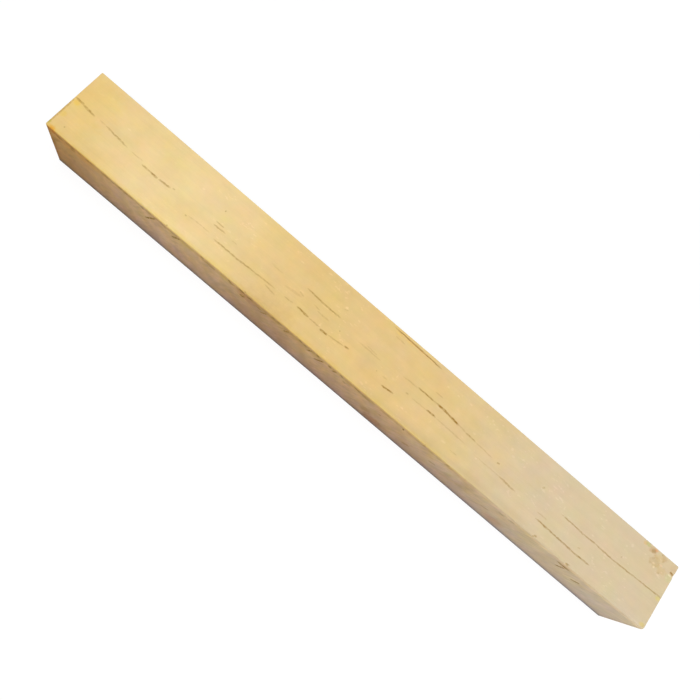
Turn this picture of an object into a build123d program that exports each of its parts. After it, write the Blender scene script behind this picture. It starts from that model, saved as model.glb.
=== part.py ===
from build123d import *
from math import sqrt
import os

# Wood turning blank: one square length of pale, close-grained hardwood, sawn along its four
# sides and docked square at both ends. It lies on its underside, with X along the grain from
# its left end to its right end, Y from its near side to its far side, and Z up. The origin is
# the middle of the underside.

# Driving sizes of the blank, in millimetres
length = 500.0
width = 50.0
height = 50.0

# How far the saw's sharp corners are eased, along the grain and round the two ends
arris_radius = 0.7
end_edge_chamfer = 0.25

# Wear on the near top arris, which has been knocked flat more and more towards the right end
worn_length = 165.0
worn_depth = 1.0

# Small chips out of the near top arris. Each has its distance from the end that it is nearer
# to, its length along the arris and its bite into the corner.
chips_by_left_end = [
    (58.0, 2.4, 0.50),
    (95.5, 4.5, 0.60),
    (160.0, 5.0, 0.60),
]
chips_by_right_end = [
    (190.0, 2.6, 0.50),
    (97.0, 2.4, 0.90),
    (67.0, 6.0, 1.10),
]

# Tears in the near side, where the grain lifted under the saw. Each has its lower tip's and its
# upper tip's distance from the end that it is nearer to and drop below the top, then its width
# and its depth.
tears_by_left_end = [
    (78.1, 17.6, 86.6, 5.4, 1.1, 0.6),
    (100.3, 11.6, 107.1, 3.9, 1.3, 0.8),
    (157.6, 12.9, 160.1, 8.5, 1.8, 0.9),
    (174.1, 13.3, 178.6, 6.7, 1.1, 0.6),
    (193.7, 11.1, 196.9, 4.9, 1.1, 0.6),
    (213.2, 10.2, 216.1, 3.3, 1.0, 0.6),
    (220.5, 15.0, 226.3, 6.1, 1.3, 0.8),
]
tears_by_right_end = [
    (205.5, 7.4, 206.2, 4.0, 0.9, 0.5),
    (70.2, 7.5, 60.1, 7.6, 1.4, 0.8),
    (64.7, 18.7, 61.8, 10.1, 1.3, 0.7),
    (48.5, 21.8, 44.6, 15.4, 1.5, 0.8),
]

# Chip that the saw broke out of the right end's top edge
end_chip_from_far_side = 8.0
end_chip_length = 3.6
end_chip_bite = 0.8

# Shake: a fine split that opens the top face along the grain, just inside the far arris
shake_length = 38.0
shake_width = 0.9
shake_depth = 1.2
shake_from_right_end = 231.0
shake_from_far_side = 2.5
shake_turn = -1.6

# Places worked out from the sizes
left_x = -length / 2
right_x = length / 2
near_y = -width / 2
far_y = width / 2
diagonal = 1 / sqrt(2)


def ball_radius(chip_length, bite):
    """Radius of the ball that leaves a chip this long and this deep on a corner."""
    return (chip_length**2 / 4 + bite**2) / (2 * bite)


def ball_offset(chip_length, bite):
    """How far out that ball's centre lies from each of the corner's two faces."""
    return (ball_radius(chip_length, bite) - bite) * diagonal


# The blank
with BuildPart() as turning_blank:
    # The square section with its arrises eased, sawn along the grain
    with BuildSketch(Plane.YZ.offset(left_x)):
        with Locations((0, height / 2)):
            RectangleRounded(width, height, arris_radius)
    extrude(amount=length)

    # The sharp edges round the two docked ends
    chamfer(faces().filter_by(Axis.X).edges(), end_edge_chamfer)

    # The worn stretch of the near top arris, a long facet that deepens to the right end
    worn_start = Vector(right_x - worn_length, near_y, height)
    worn_end = Vector(right_x, near_y + worn_depth * diagonal, height - worn_depth * diagonal)
    across = Vector(0, 1, 1)
    along = worn_end - worn_start
    wear_plane = Plane(origin=worn_start, x_dir=along, z_dir=along.cross(across))
    split(bisect_by=wear_plane, keep=Keep.BOTTOM)

    # The chips out of the near top arris
    near_chips = [(left_x + place, size, bite) for place, size, bite in chips_by_left_end]
    near_chips += [(right_x - place, size, bite) for place, size, bite in chips_by_right_end]
    for x, size, bite in near_chips:
        out = ball_offset(size, bite)
        with Locations((x, near_y - out, height + out)):
            Sphere(ball_radius(size, bite), mode=Mode.SUBTRACT)

    # The chip out of the right end's top edge
    out = ball_offset(end_chip_length, end_chip_bite)
    with Locations((right_x + out, far_y - end_chip_from_far_side, height + out)):
        Sphere(ball_radius(end_chip_length, end_chip_bite), mode=Mode.SUBTRACT)

    # The tears in the near side, each a slanting lens closed at both its tips
    near_tears = [(left_x + a, b, left_x + c, d, w, deep) for a, b, c, d, w, deep in tears_by_left_end]
    near_tears += [(right_x - a, b, right_x - c, d, w, deep) for a, b, c, d, w, deep in tears_by_right_end]
    for low_x, low_drop, high_x, high_drop, tear_width, tear_depth in near_tears:
        low_tip = Vector(low_x, near_y, height - low_drop)
        high_tip = Vector(high_x, near_y, height - high_drop)
        half_length = (high_tip - low_tip).length / 2
        tear_plane = Plane(origin=(low_tip + high_tip) * 0.5, x_dir=high_tip - low_tip, z_dir=(0, -1, 0))
        with BuildSketch(tear_plane):
            with BuildLine():
                ThreePointArc((-half_length, 0), (0, tear_width / 2), (half_length, 0))
                ThreePointArc((half_length, 0), (0, -tear_width / 2), (-half_length, 0))
            make_face()
        extrude(amount=-tear_depth, mode=Mode.SUBTRACT)

    # The shake, widest at its middle and closed at both its tips
    shake_place = (right_x - shake_from_right_end, far_y - shake_from_far_side, height)
    shake_plane = Plane(origin=shake_place).rotated((0, 0, shake_turn))
    with BuildSketch(shake_plane):
        with BuildLine():
            tips = (-shake_length / 2, 0), (shake_length / 2, 0)
            ThreePointArc(tips[0], (0, shake_width / 2), tips[1])
            ThreePointArc(tips[1], (0, -shake_width / 2), tips[0])
        make_face()
    extrude(amount=-shake_depth, mode=Mode.SUBTRACT)

turning_blank.part.label = "turning_blank"

os.makedirs("parts", exist_ok=True)
export_step(turning_blank.part, "parts/turning_blank.step")
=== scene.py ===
import logging
import math
from dataclasses import dataclass
from enum import Enum

import bpy
import numpy as np
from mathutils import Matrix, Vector, geometry, noise


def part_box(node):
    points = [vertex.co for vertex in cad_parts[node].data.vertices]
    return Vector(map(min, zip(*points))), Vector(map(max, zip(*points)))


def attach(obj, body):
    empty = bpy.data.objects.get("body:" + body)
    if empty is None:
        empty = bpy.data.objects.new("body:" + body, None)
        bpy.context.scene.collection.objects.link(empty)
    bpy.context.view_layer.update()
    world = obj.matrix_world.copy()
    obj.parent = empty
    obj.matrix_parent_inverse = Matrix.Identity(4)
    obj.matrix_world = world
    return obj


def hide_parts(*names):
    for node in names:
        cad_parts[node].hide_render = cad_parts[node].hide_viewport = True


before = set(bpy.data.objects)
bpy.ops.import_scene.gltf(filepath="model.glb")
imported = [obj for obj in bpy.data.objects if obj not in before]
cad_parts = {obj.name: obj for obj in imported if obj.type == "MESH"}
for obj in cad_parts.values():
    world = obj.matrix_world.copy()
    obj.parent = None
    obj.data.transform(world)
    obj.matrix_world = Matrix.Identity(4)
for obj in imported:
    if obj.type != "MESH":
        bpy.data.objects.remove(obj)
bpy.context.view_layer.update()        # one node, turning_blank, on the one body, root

# A wood turning blank: a square length of pale, close-grained hardwood with planed long faces,
# sawn ends, a worn and chipped near arris and brown flecks along the grain.
#
# Places on the blank are in millimetres: x from its left end along the grain, y from its near
# side and z up from its underside. "Unrolled" places lay the four long faces out in one strip:
# x along it, and across it the way round the section, up the near side from its lower arris.
# The studio's places are in metres in the row's frame.

LOG = logging.getLogger("turning_blank")
NODE = "turning_blank"
MM = 0.001

# The texture layout has five rows with gaps between them. The fifth holds both ends, the second
# of them this many row heights along, and each drawn this much wider than it is high.
UV_ROW = 0.2
UV_GAP = 0.006
UV_END_PITCH = 1.4
UV_END_STRETCH = 1.3

# A Range is the two places and the two values of a rise
Pair = tuple[float, float]
Triple = tuple[float, float, float]
Range = tuple[float, float, float, float]
Colour = Triple
Socket = bpy.types.NodeSocket
Feed = Socket | float | tuple

WHITE: Colour = (1.0,) * 3

# Keeps a division from having nothing to divide by
TINY = 1e-6

# How many finer waves lie on a fine cloud and on a ragged one, and how strong those are
FINE: Pair = (3.0, 0.6)
RAGGED: Pair = (4.0, 0.7)

# Where a Mix node has its first input and its answer, for each kind of data
MIX_SOCKETS = {"FLOAT": (2, 0), "VECTOR": (4, 1), "RGBA": (6, 2)}


def tone(red: int, green: int, blue: int) -> Colour:
    """Turns a tone as a screen shows it into the linear colour that a shader takes.

    Args:
        red: Red, from 0 to 255.
        green: Green, from 0 to 255.
        blue: Blue, from 0 to 255.

    Returns:
        The linear colour, each part from 0 to 1.
    """
    parts = [value / 255 for value in (red, green, blue)]
    return tuple(p / 12.92 if p <= 0.04045 else ((p + 0.055) / 1.055) ** 2.4 for p in parts)


class Face(Enum):
    """The blank's four long faces, in the order in which the unrolled strip meets them."""

    NEAR = 0
    TOP = 1
    FAR = 2
    UNDER = 3


class Slot(Enum):
    """The material slots of the blank's mesh."""

    PLANED = 0
    SAWN = 1
    TORN = 2


@dataclass(frozen=True)
class Size:
    """The blank's own size in millimetres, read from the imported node."""

    length: float
    width: float
    height: float

    @classmethod
    def of_node(cls, node: str) -> "Size":
        """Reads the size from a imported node.

        Args:
            node: The node's name.

        Returns:
            Its size.
        """
        low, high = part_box(node)
        return cls(*((high[i] - low[i]) / MM for i in range(3)))

    def across(self, face: Face, place: float) -> float:
        """Gives a place on a long face as a distance across the unrolled strip.

        Args:
            face: The long face.
            place: The distance from the arris where the strip reaches that face.

        Returns:
            The distance across the strip.
        """
        starts = (0.0, self.height, self.height + self.width, 2 * self.height + self.width)
        return starts[face.value] + place

    def to_row(self, points: np.ndarray) -> np.ndarray:
        """Moves points from millimetres on the blank to metres in the row's frame.

        Args:
            points: One point a row.

        Returns:
            The moved points.
        """
        return (points - np.array([self.length / 2, self.width / 2, 0.0])) * MM


def placed(name: str, data: bpy.types.ID) -> bpy.types.Object:
    """Makes an object and links it to the scene.

    Args:
        name: Its name.
        data: Its mesh, lamp or camera.

    Returns:
        The object.
    """
    made = bpy.data.objects.new(name, data)
    bpy.context.scene.collection.objects.link(made)
    return made


def measured(places: np.ndarray, start: Pair, end: Pair) -> tuple[np.ndarray, np.ndarray]:
    """Measures places on a face against a straight span.

    Args:
        places: One place a row.
        start: Where the span starts.
        end: Where it ends.

    Returns:
        The share of the span at which each place lies, and how far aside of the span it lies.
    """
    span = np.subtract(end, start)
    length = np.linalg.norm(span)
    offset = places - np.array(start)
    return offset @ span / length**2, offset @ np.array([-span[1], span[0]]) / length


# Marks and damage


@dataclass(frozen=True)
class Dab:
    """A soft ellipse on the unrolled strip.

    "along" and "aside" point along its two half axes and are as long as one over each of them.
    """

    centre: Vector
    along: Vector
    aside: Vector
    strength: float


@dataclass(frozen=True)
class Fleck:
    """A brown line along the grain, where the tree healed or laid down gum; two on the top face are the
    dark marks of nicks, painted shadow in them, with dirt in one.

    Each point of its route is its place along the blank and its place on the face. A fleck of one
    span ends a little past its two tips, and the spans of a longer one overlap. "half_width" is
    half its soft breadth as a share of its width, and the skin is what counts as the top face.
    """

    face: Face
    route: tuple[Pair, ...]
    width: float
    strength: float
    lone_reach: float = 1.10
    joined_reach: float = 1.35
    half_width: float = 0.75
    top_skin: float = 0.5

    def dabs(self, size: Size) -> list[Dab]:
        """Lists the soft ellipses on the unrolled strip that make up the fleck.

        Args:
            size: The blank's size.

        Returns:
            One dab for each straight span of its route, each a little longer than its span.
        """
        points = [Vector((x, size.across(self.face, place))) for x, place in self.route]
        reach = self.lone_reach if len(points) == 2 else self.joined_reach
        dabs = []
        for start, end in zip(points, points[1:]):
            along = (end - start).normalized()
            half = (end - start).length / 2 * reach
            aside = Vector((-along.y, along.x))
            spread = self.width * self.half_width
            dabs.append(Dab((start + end) / 2, along / half, aside / spread, self.strength))
        return dabs

    def carve(self, points: np.ndarray, size: Size, depth: float) -> None:
        """Sinks the fleck a little into the top face.

        Args:
            points: Points in millimetres on the blank, changed in place.
            size: The blank's size.
            depth: How deep the darkest fleck goes.
        """
        on_top = points[:, 2] > size.height - self.top_skin
        unrolled = np.column_stack([points[:, 0], size.height + points[:, 1]])
        sunk = np.zeros(len(points))
        for dab in self.dabs(size):
            offset = unrolled - np.array(dab.centre)
            along, aside = offset @ np.array(dab.along), offset @ np.array(dab.aside)
            sunk = np.maximum(sunk, 1 - along**2 - aside**2)
        points[on_top, 2] -= (sunk * self.strength * depth)[on_top]


@dataclass(frozen=True)
class Chip:
    """A chip out of the near top arris or an end's top edge, cut as if by a rough ball."""

    place: Triple
    outward: Triple
    size: float
    bite: float
    roughness: float = 0.10
    rough_waves: float = 0.9

    def carve(self, points: np.ndarray) -> np.ndarray:
        """Presses the points that lie in the chip back to its wall.

        Args:
            points: Points in millimetres on the blank, changed in place.

        Returns:
            How far each point moved.
        """
        radius = (self.size**2 / 4 + self.bite**2) / (2 * self.bite)
        outward = np.array(self.outward) / np.linalg.norm(self.outward)
        centre = np.array(self.place) + outward * (radius - self.bite)
        away = points - centre
        distance = np.linalg.norm(away, axis=1)
        near = np.flatnonzero(distance < radius * (1 + self.roughness))
        moved = np.zeros(len(points))
        for i in near:
            way = Vector(away[i] / max(distance[i], TINY))
            rough = noise.noise(Vector(points[i]) * self.rough_waves + Vector(self.place))
            wall = radius * (1 + self.roughness * rough)
            moved[i] = max(wall - distance[i], 0.0)
            points[i] += np.array(way) * moved[i]
        return moved


@dataclass(frozen=True)
class Tear:
    """A slanting gouge in the near side, closed at both its tips and deepest near the upper one.

    Its tips are given along the blank and up it. "half_width" is half its breadth as a share of
    its width, "low_share" its depth at the lower tip as a share of its depth at the upper one, and
    the skin is what counts as the near side.
    """

    low: Pair
    high: Pair
    width: float
    depth: float
    half_width: float = 0.6
    raggedness: float = 0.5
    rough_waves: float = 0.8
    bluntness: float = 0.7
    low_share: float = 0.35
    near_skin: float = 2.0

    def carve(self, points: np.ndarray) -> np.ndarray:
        """Presses the points that lie in the tear back from the near side.

        Args:
            points: Points in millimetres on the blank, changed in place.

        Returns:
            How far each point moved.
        """
        along, aside = measured(points[:, [0, 2]], self.low, self.high)
        moved = np.zeros(len(points))
        for i in np.flatnonzero((along > 0) & (along < 1) & (points[:, 1] < self.near_skin)):
            x, _, z = points[i] * self.rough_waves
            rough = noise.noise(Vector((x, z, self.depth)))
            half = self.width * self.half_width * (1 + self.raggedness * rough)
            half *= (1 - (2 * along[i] - 1) ** 2) ** self.bluntness
            across = abs(aside[i]) / max(half, TINY)
            if across < 1:
                share = self.low_share + (1 - self.low_share) * along[i]
                moved[i] = self.depth * share * (1 - across**2)
        points[:, 1] += moved
        return moved


@dataclass(frozen=True)
class WornArris:
    """The near top arris, eased by the plane and worn to a facet towards the right end.

    All depths are along the corner's diagonal, and the corner is frayed by a slow wave with a
    quick one on it.
    """

    worn_length: float = 165.0
    worn_depth: float = 1.0
    eased_depth: float = 0.30
    facet_share: float = 0.75
    unevenness: float = 0.42
    worn_unevenness: float = 0.10
    slow_waves: float = 0.13
    slow_row: float = 3.1
    quick_waves: float = 0.4
    quick_row: float = 7.7
    quick_share: float = 0.7
    wave_lift: float = 0.25
    firmness: float = 0.85
    corner_reach: float = 2.0

    def fray(self, x: float) -> float:
        """Tells how frayed the corner is at one place.

        Args:
            x: The place along the blank.

        Returns:
            0 where it isn't frayed, and more where it is.
        """
        slow = noise.noise(Vector((x * self.slow_waves, self.slow_row, 0.0)))
        quick = noise.noise(Vector((x * self.quick_waves, self.quick_row, 0.0)))
        return max(slow + self.quick_share * quick + self.wave_lift, 0.0)

    def carve(self, points: np.ndarray, size: Size) -> None:
        """Wears the corner down along its diagonal.

        Args:
            points: Points in millimetres on the blank, changed in place.
            size: The blank's size.
        """
        diagonal = np.array([0.0, -1.0, 1.0]) / math.sqrt(2)
        out = (points - np.array([0.0, 0.0, size.height])) @ diagonal
        start = size.length - self.worn_length
        depth = np.clip((points[:, 0] - start) / self.worn_length, 0, 1) * self.worn_depth
        for i in np.flatnonzero(out > -self.corner_reach):
            uneven = self.unevenness + self.worn_unevenness * depth[i] / self.worn_depth
            level = -self.eased_depth - depth[i] * self.facet_share - uneven * self.fray(points[i, 0])
            excess = out[i] - level
            if excess > 0:
                points[i] -= diagonal * excess * self.firmness


@dataclass(frozen=True)
class Shake:
    """A fine split that opens the top face along the grain, just inside the far arris."""

    start: Pair = (249.5, 48.05)
    end: Pair = (287.5, 46.95)
    width: float = 0.9
    depth: float = 0.9
    top_skin: float = 1.0

    def carve(self, points: np.ndarray, size: Size) -> np.ndarray:
        """Opens the split in the top face.

        Args:
            points: Points in millimetres on the blank, changed in place.
            size: The blank's size.

        Returns:
            How far each point moved.
        """
        along, aside = measured(points[:, :2], self.start, self.end)
        aside = np.abs(aside)
        half = self.width / 2 * np.clip(1 - (2 * along - 1) ** 2, 0, 1)
        on_top = points[:, 2] > size.height - self.top_skin
        inside = (along > 0) & (along < 1) & (aside < half) & on_top
        moved = np.zeros(len(points))
        moved[inside] = self.depth * (1 - (aside[inside] / half[inside]) ** 2)
        points[:, 2] -= moved
        return moved


# The flecks on the top face, as the photo shows them. Each has its route, its width and its
# strength, from 0 for none to 1 for the darkest.
# Two of them are the dark marks of nicks, painted shadow in part
TOP_FLECKS_AND_NICK_SHADOWS = [
    (((0.5, 3.0), (0.5, 24.5)), 1.5, 0.42),
    (((0.5, 25.8), (7.6, 25.3)), 1.3, 0.62),
    (((7.0, 25.1), (17.2, 24.0)), 1.2, 0.52),
    (((21.0, 24.2), (26.0, 24.2)), 0.8, 0.18),
    (((26.0, 24.1), (44.5, 22.5)), 1.0, 0.50),
    (((48.5, 22.1), (57.5, 22.1)), 0.8, 0.20),
    (((58.5, 20.3), (66.0, 19.9)), 1.1, 0.46),
    (((65.0, 19.9), (71.5, 20.0)), 1.2, 0.66),
    (((72.5, 20.0), (81.5, 20.5)), 1.1, 0.52),
    (((82.5, 21.3), (84.5, 21.3)), 0.8, 0.35),
    (((9.0, 6.0), (10.0, 6.0)), 1.0, 0.35),
    (((99.5, 13.4), (101.0, 13.4)), 0.9, 0.38),
    (((101.5, 14.3), (118.0, 15.0)), 0.7, 0.20),
    (((116.0, 32.9), (117.0, 32.9)), 1.0, 0.55),
    (((116.5, 23.6), (123.0, 23.6)), 0.8, 0.42),
    (((116.5, 21.0), (126.0, 21.0)), 0.9, 0.46),
    (((132.0, 20.5), (136.0, 20.5)), 0.7, 0.20),
    (((125.0, 13.5), (140.0, 13.3), (155.0, 14.1)), 1.0, 0.52),
    (((154.0, 14.0), (172.0, 14.8)), 0.9, 0.38),
    (((166.0, 12.5), (175.0, 11.2)), 0.8, 0.28),
    (((180.0, 14.7), (187.0, 15.2)), 0.8, 0.28),
    (((190.5, 15.1), (200.5, 14.6)), 1.2, 0.68),
    (((201.0, 14.4), (210.0, 14.4)), 0.8, 0.35),
    (((210.5, 13.6), (217.0, 13.6)), 1.1, 0.78),
    (((217.0, 14.0), (230.0, 15.2)), 0.8, 0.36),
    (((229.5, 15.5), (233.5, 15.5)), 1.0, 0.68),
    (((189.5, 29.0), (202.0, 28.2), (215.0, 28.2)), 1.0, 0.50),
    (((160.5, 26.2), (170.0, 26.0)), 0.8, 0.14),
    (((176.0, 20.7), (189.0, 22.0)), 1.4, 0.16),
    (((185.5, 24.4), (189.5, 23.1)), 0.9, 0.24),
    (((198.0, 23.5), (203.5, 23.2)), 0.8, 0.20),
    (((214.5, 34.2), (217.5, 35.8)), 0.8, 0.18),
    (((202.0, 21.6), (212.0, 21.6)), 0.9, 0.20),
    (((221.0, 21.2), (222.0, 21.2)), 0.8, 0.30),
    (((235.0, 24.0), (254.0, 24.0)), 0.9, 0.18),
    (((241.0, 25.6), (250.0, 25.3)), 0.8, 0.20),
    (((279.5, 18.5), (281.8, 18.7)), 0.9, 0.30),
    (((249.0, 48.0), (262.0, 47.8), (275.0, 47.4), (288.0, 46.9)), 0.8, 0.40),
    (((252.0, 43.5), (260.0, 43.4)), 0.9, 0.22),
    (((272.0, 26.0), (284.0, 26.2)), 0.8, 0.20),
    (((284.0, 26.6), (298.2, 26.6)), 1.0, 0.66),
    (((297.5, 26.7), (303.0, 26.6)), 0.9, 0.42),
    (((301.5, 26.7), (311.0, 26.0), (320.0, 25.1)), 1.3, 0.82),
    (((319.0, 25.0), (328.0, 24.4)), 0.8, 0.22),
    (((327.0, 24.2), (336.0, 23.8)), 0.9, 0.50),
    (((336.0, 23.8), (351.0, 22.7)), 0.8, 0.22),
    (((355.4, 22.6), (357.6, 22.9)), 1.0, 0.48),
    (((285.0, 18.3), (297.0, 18.6)), 0.8, 0.20),
    (((297.0, 18.7), (305.0, 18.7)), 1.0, 0.78),
    (((305.0, 18.7), (331.0, 17.9)), 0.8, 0.20),
    (((255.5, 17.0), (256.5, 17.0)), 0.8, 0.25),
    (((261.0, 17.0), (265.0, 17.0)), 0.8, 0.20),
    (((264.0, 11.5), (273.5, 12.4)), 1.1, 0.72),
    (((341.5, 16.4), (364.0, 16.2)), 0.8, 0.16),
    (((361.5, 16.1), (376.5, 15.4)), 1.1, 0.43),
    (((325.0, 8.2), (331.0, 8.2)), 0.8, 0.20),
    (((295.0, 32.2), (301.5, 32.2)), 0.8, 0.22),
    (
        ((413.5, 24.4), (431.5, 23.6), (441.5, 23.8), (457.5, 23.2), (478.0, 24.0), (500.0, 24.7)),
        0.9,
        0.52,
    ),
    (((397.5, 10.7), (411.0, 10.3)), 1.0, 0.60),
    (((410.0, 10.3), (432.0, 9.4), (444.0, 9.8)), 1.0, 0.62),
    (((396.0, 14.8), (405.0, 14.8)), 0.8, 0.22),
    (((390.2, 29.8), (392.0, 31.0)), 1.0, 0.34),
    # The dark mark of the chip in the near arris: partly dirt, partly painted shadow in the chip
    (((403.0, 1.0), (405.2, 1.5)), 1.4, 0.46),
    (((432.0, 14.0), (434.4, 14.4)), 0.9, 0.24),
    (((461.0, 28.0), (462.0, 29.0)), 0.8, 0.28),
    (((477.3, 46.0), (480.4, 47.6)), 2.2, 0.42),
    (((485.0, 48.4), (486.3, 49.0)), 1.2, 0.35),
    (((487.8, 44.8), (489.2, 46.3)), 1.2, 0.20),
    (((488.2, 36.6), (490.2, 37.5)), 1.0, 0.22),
    (((479.2, 38.6), (481.6, 39.4)), 1.4, 0.16),
    (((480.0, 42.3), (482.4, 43.6)), 1.2, 0.16),
    # The dark mark of the nick in the right end's top edge: painted shadow in the nick
    (((496.2, 43.1), (499.4, 42.0)), 1.6, 0.75),
]

# Tears in the near side, most of them running down from the arris, where the grain lifted under
# the saw. Each has its lower tip, its upper tip, its width and its depth.
NEAR_TEARS = [
    ((78.1, 32.4), (86.6, 44.6), 1.1, 0.6),
    ((100.3, 38.4), (107.1, 46.1), 1.3, 0.8),
    ((157.6, 37.1), (160.1, 41.5), 1.8, 0.9),
    ((174.1, 36.7), (178.6, 43.3), 1.1, 0.6),
    ((193.7, 38.9), (196.9, 45.1), 1.1, 0.6),
    ((213.2, 39.8), (216.1, 46.7), 1.0, 0.6),
    ((220.5, 35.0), (226.3, 43.9), 1.3, 0.8),
    ((294.5, 42.6), (293.8, 46.0), 0.9, 0.5),
    ((429.8, 42.5), (439.9, 42.4), 1.4, 0.8),
    ((435.3, 31.3), (438.2, 39.9), 1.3, 0.7),
    ((451.5, 28.2), (455.4, 34.6), 1.5, 0.8),
]

# How much wider than its gouge a tear's brown mark is, and how strong
TEAR_SPREAD = 1.35
TEAR_STRENGTH = 0.95

# Brown marks on the near side that have no depth
NEAR_MARKS = [
    (((90.5, 47.9), (95.5, 44.0)), 2.4, 0.35),
    (((256.5, 45.7), (267.2, 42.5)), 2.4, 0.38),
    (((277.7, 33.0), (278.2, 35.0)), 1.6, 0.55),
    (((304.0, 15.9), (309.4, 20.8)), 2.8, 0.55),
    (((324.5, 25.0), (329.8, 27.5)), 2.6, 0.52),
    (((371.2, 24.5), (378.3, 27.0)), 2.8, 0.35),
    (((0.8, 27.0), (3.5, 34.0), (8.0, 39.5)), 3.2, 0.50),
    (((7.0, 43.6), (13.0, 45.4)), 3.0, 0.50),
    (((18.8, 41.6), (21.8, 45.2)), 3.0, 0.48),
    (((30.5, 45.0), (33.5, 47.6)), 1.8, 0.35),
    (((61.0, 44.0), (64.5, 47.5)), 2.2, 0.38),
    (((124.0, 43.5), (134.0, 45.5)), 2.0, 0.32),
    (((148.0, 42.5), (152.0, 46.5)), 1.8, 0.38),
    (((182.5, 44.0), (190.0, 45.6)), 2.0, 0.30),
    (((386.0, 42.0), (391.0, 44.4)), 2.6, 0.32),
    (((377.5, 42.5), (383.5, 40.5)), 2.0, 0.26),
]

# Short dark ticks just under the near top arris, where it is frayed
ARRIS_TICKS = [
    (((51.0, 46.0), (54.0, 45.0)), 2.0, 0.51),
    (((58.0, 47.8), (60.0, 45.6)), 2.0, 0.61),
    (((75.0, 46.8), (77.5, 44.2)), 2.0, 0.58),
    (((124.0, 47.4), (126.5, 46.4)), 2.0, 0.58),
    (((131.0, 43.0), (136.0, 44.5)), 2.0, 0.41),
    (((146.8, 47.6), (149.2, 44.2)), 2.1, 0.75),
    (((155.5, 48.2), (160.5, 46.0)), 2.2, 0.85),
    (((162.5, 44.5), (166.5, 47.0)), 2.2, 0.75),
    (((170.0, 43.0), (175.0, 41.5)), 2.0, 0.51),
    (((183.0, 48.2), (185.0, 46.4)), 2.0, 0.61),
    (((187.0, 47.8), (191.0, 46.6)), 2.0, 0.58),
    (((205.0, 47.8), (208.0, 45.6)), 2.0, 0.65),
    (((209.5, 46.6), (211.5, 45.0)), 2.0, 0.48),
    (((220.0, 47.8), (222.2, 45.2)), 2.1, 0.65),
    (((230.5, 46.6), (232.4, 43.6)), 2.1, 0.71),
    (((234.5, 41.0), (237.0, 45.5)), 2.0, 0.68),
    (((240.0, 47.4), (242.4, 45.0)), 2.0, 0.58),
    (((244.0, 40.0), (246.5, 37.5)), 2.0, 0.44),
    (((251.5, 46.4), (257.5, 44.8)), 2.2, 0.61),
    (((310.0, 48.4), (311.5, 46.8)), 2.0, 0.51),
    (((329.0, 48.4), (332.5, 47.2)), 2.0, 0.44),
]

# The hidden sides carry the same wood's flecks, only fewer
FAR_FLECKS = [
    (((38, 17.0), (61, 18.2)), 0.9, 0.50),
    (((132, 30.5), (158, 29.4), (171, 29.8)), 1.0, 0.60),
    (((176, 28.6), (184, 28.4)), 0.9, 0.35),
    (((240, 12.6), (262, 13.4)), 0.8, 0.40),
    (((331, 36.2), (352, 35.0)), 1.1, 0.70),
    (((418, 21.0), (447, 22.6), (469, 22.2)), 0.9, 0.55),
]
UNDER_FLECKS = [
    (((22, 33.0), (44, 32.2)), 0.9, 0.45),
    (((96, 14.8), (121, 16.0)), 1.0, 0.60),
    (((204, 27.2), (229, 26.0), (246, 26.6)), 1.0, 0.65),
    (((309, 38.5), (327, 37.8)), 0.8, 0.40),
    (((372, 19.2), (402, 20.6)), 1.0, 0.60),
    (((455, 29.0), (478, 28.0)), 0.9, 0.45),
]


@dataclass(frozen=True)
class Blot:
    """A ragged patch on one long face, which tints the wood under it: most are stained patches, a few are
    painted shade and painted highlights.
    """

    face: Face
    place: Pair
    reach: Pair
    tint: Colour
    raggedness: float = 1.0


# Small pale nicks in the top face, all of one tint, each with its place and how far it reaches
PALE_NICK_TINT = (1.07, 1.08, 1.15)
PALE_NICKS = [
    ((37.7, 32.4), (1.8, 0.6)),
    ((96.8, 34.6), (1.2, 0.8)),
    ((174.5, 40.5), (1.8, 0.6)),
    ((186.5, 24.9), (2.4, 0.8)),
    ((204.0, 27.2), (3.0, 0.6)),
    ((215.8, 36.0), (2.2, 1.2)),
    ((268.9, 23.0), (0.7, 1.7)),
    ((299.7, 40.5), (1.5, 1.0)),
    ((309.0, 40.4), (1.3, 0.7)),
    ((319.0, 41.4), (1.8, 0.8)),
    ((318.5, 9.6), (2.4, 0.9)),
    ((332.0, 27.6), (1.8, 1.0)),
    ((359.0, 36.6), (1.7, 1.5)),
    ((362.2, 33.0), (1.7, 1.0)),
    ((389.0, 21.4), (1.3, 0.8)),
    ((410.6, 28.8), (0.6, 1.6)),
    ((437.0, 27.2), (1.4, 0.9)),
    ((464.2, 40.0), (1.3, 1.7)),
    ((475.0, 5.0), (1.9, 0.8)),
]
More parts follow.
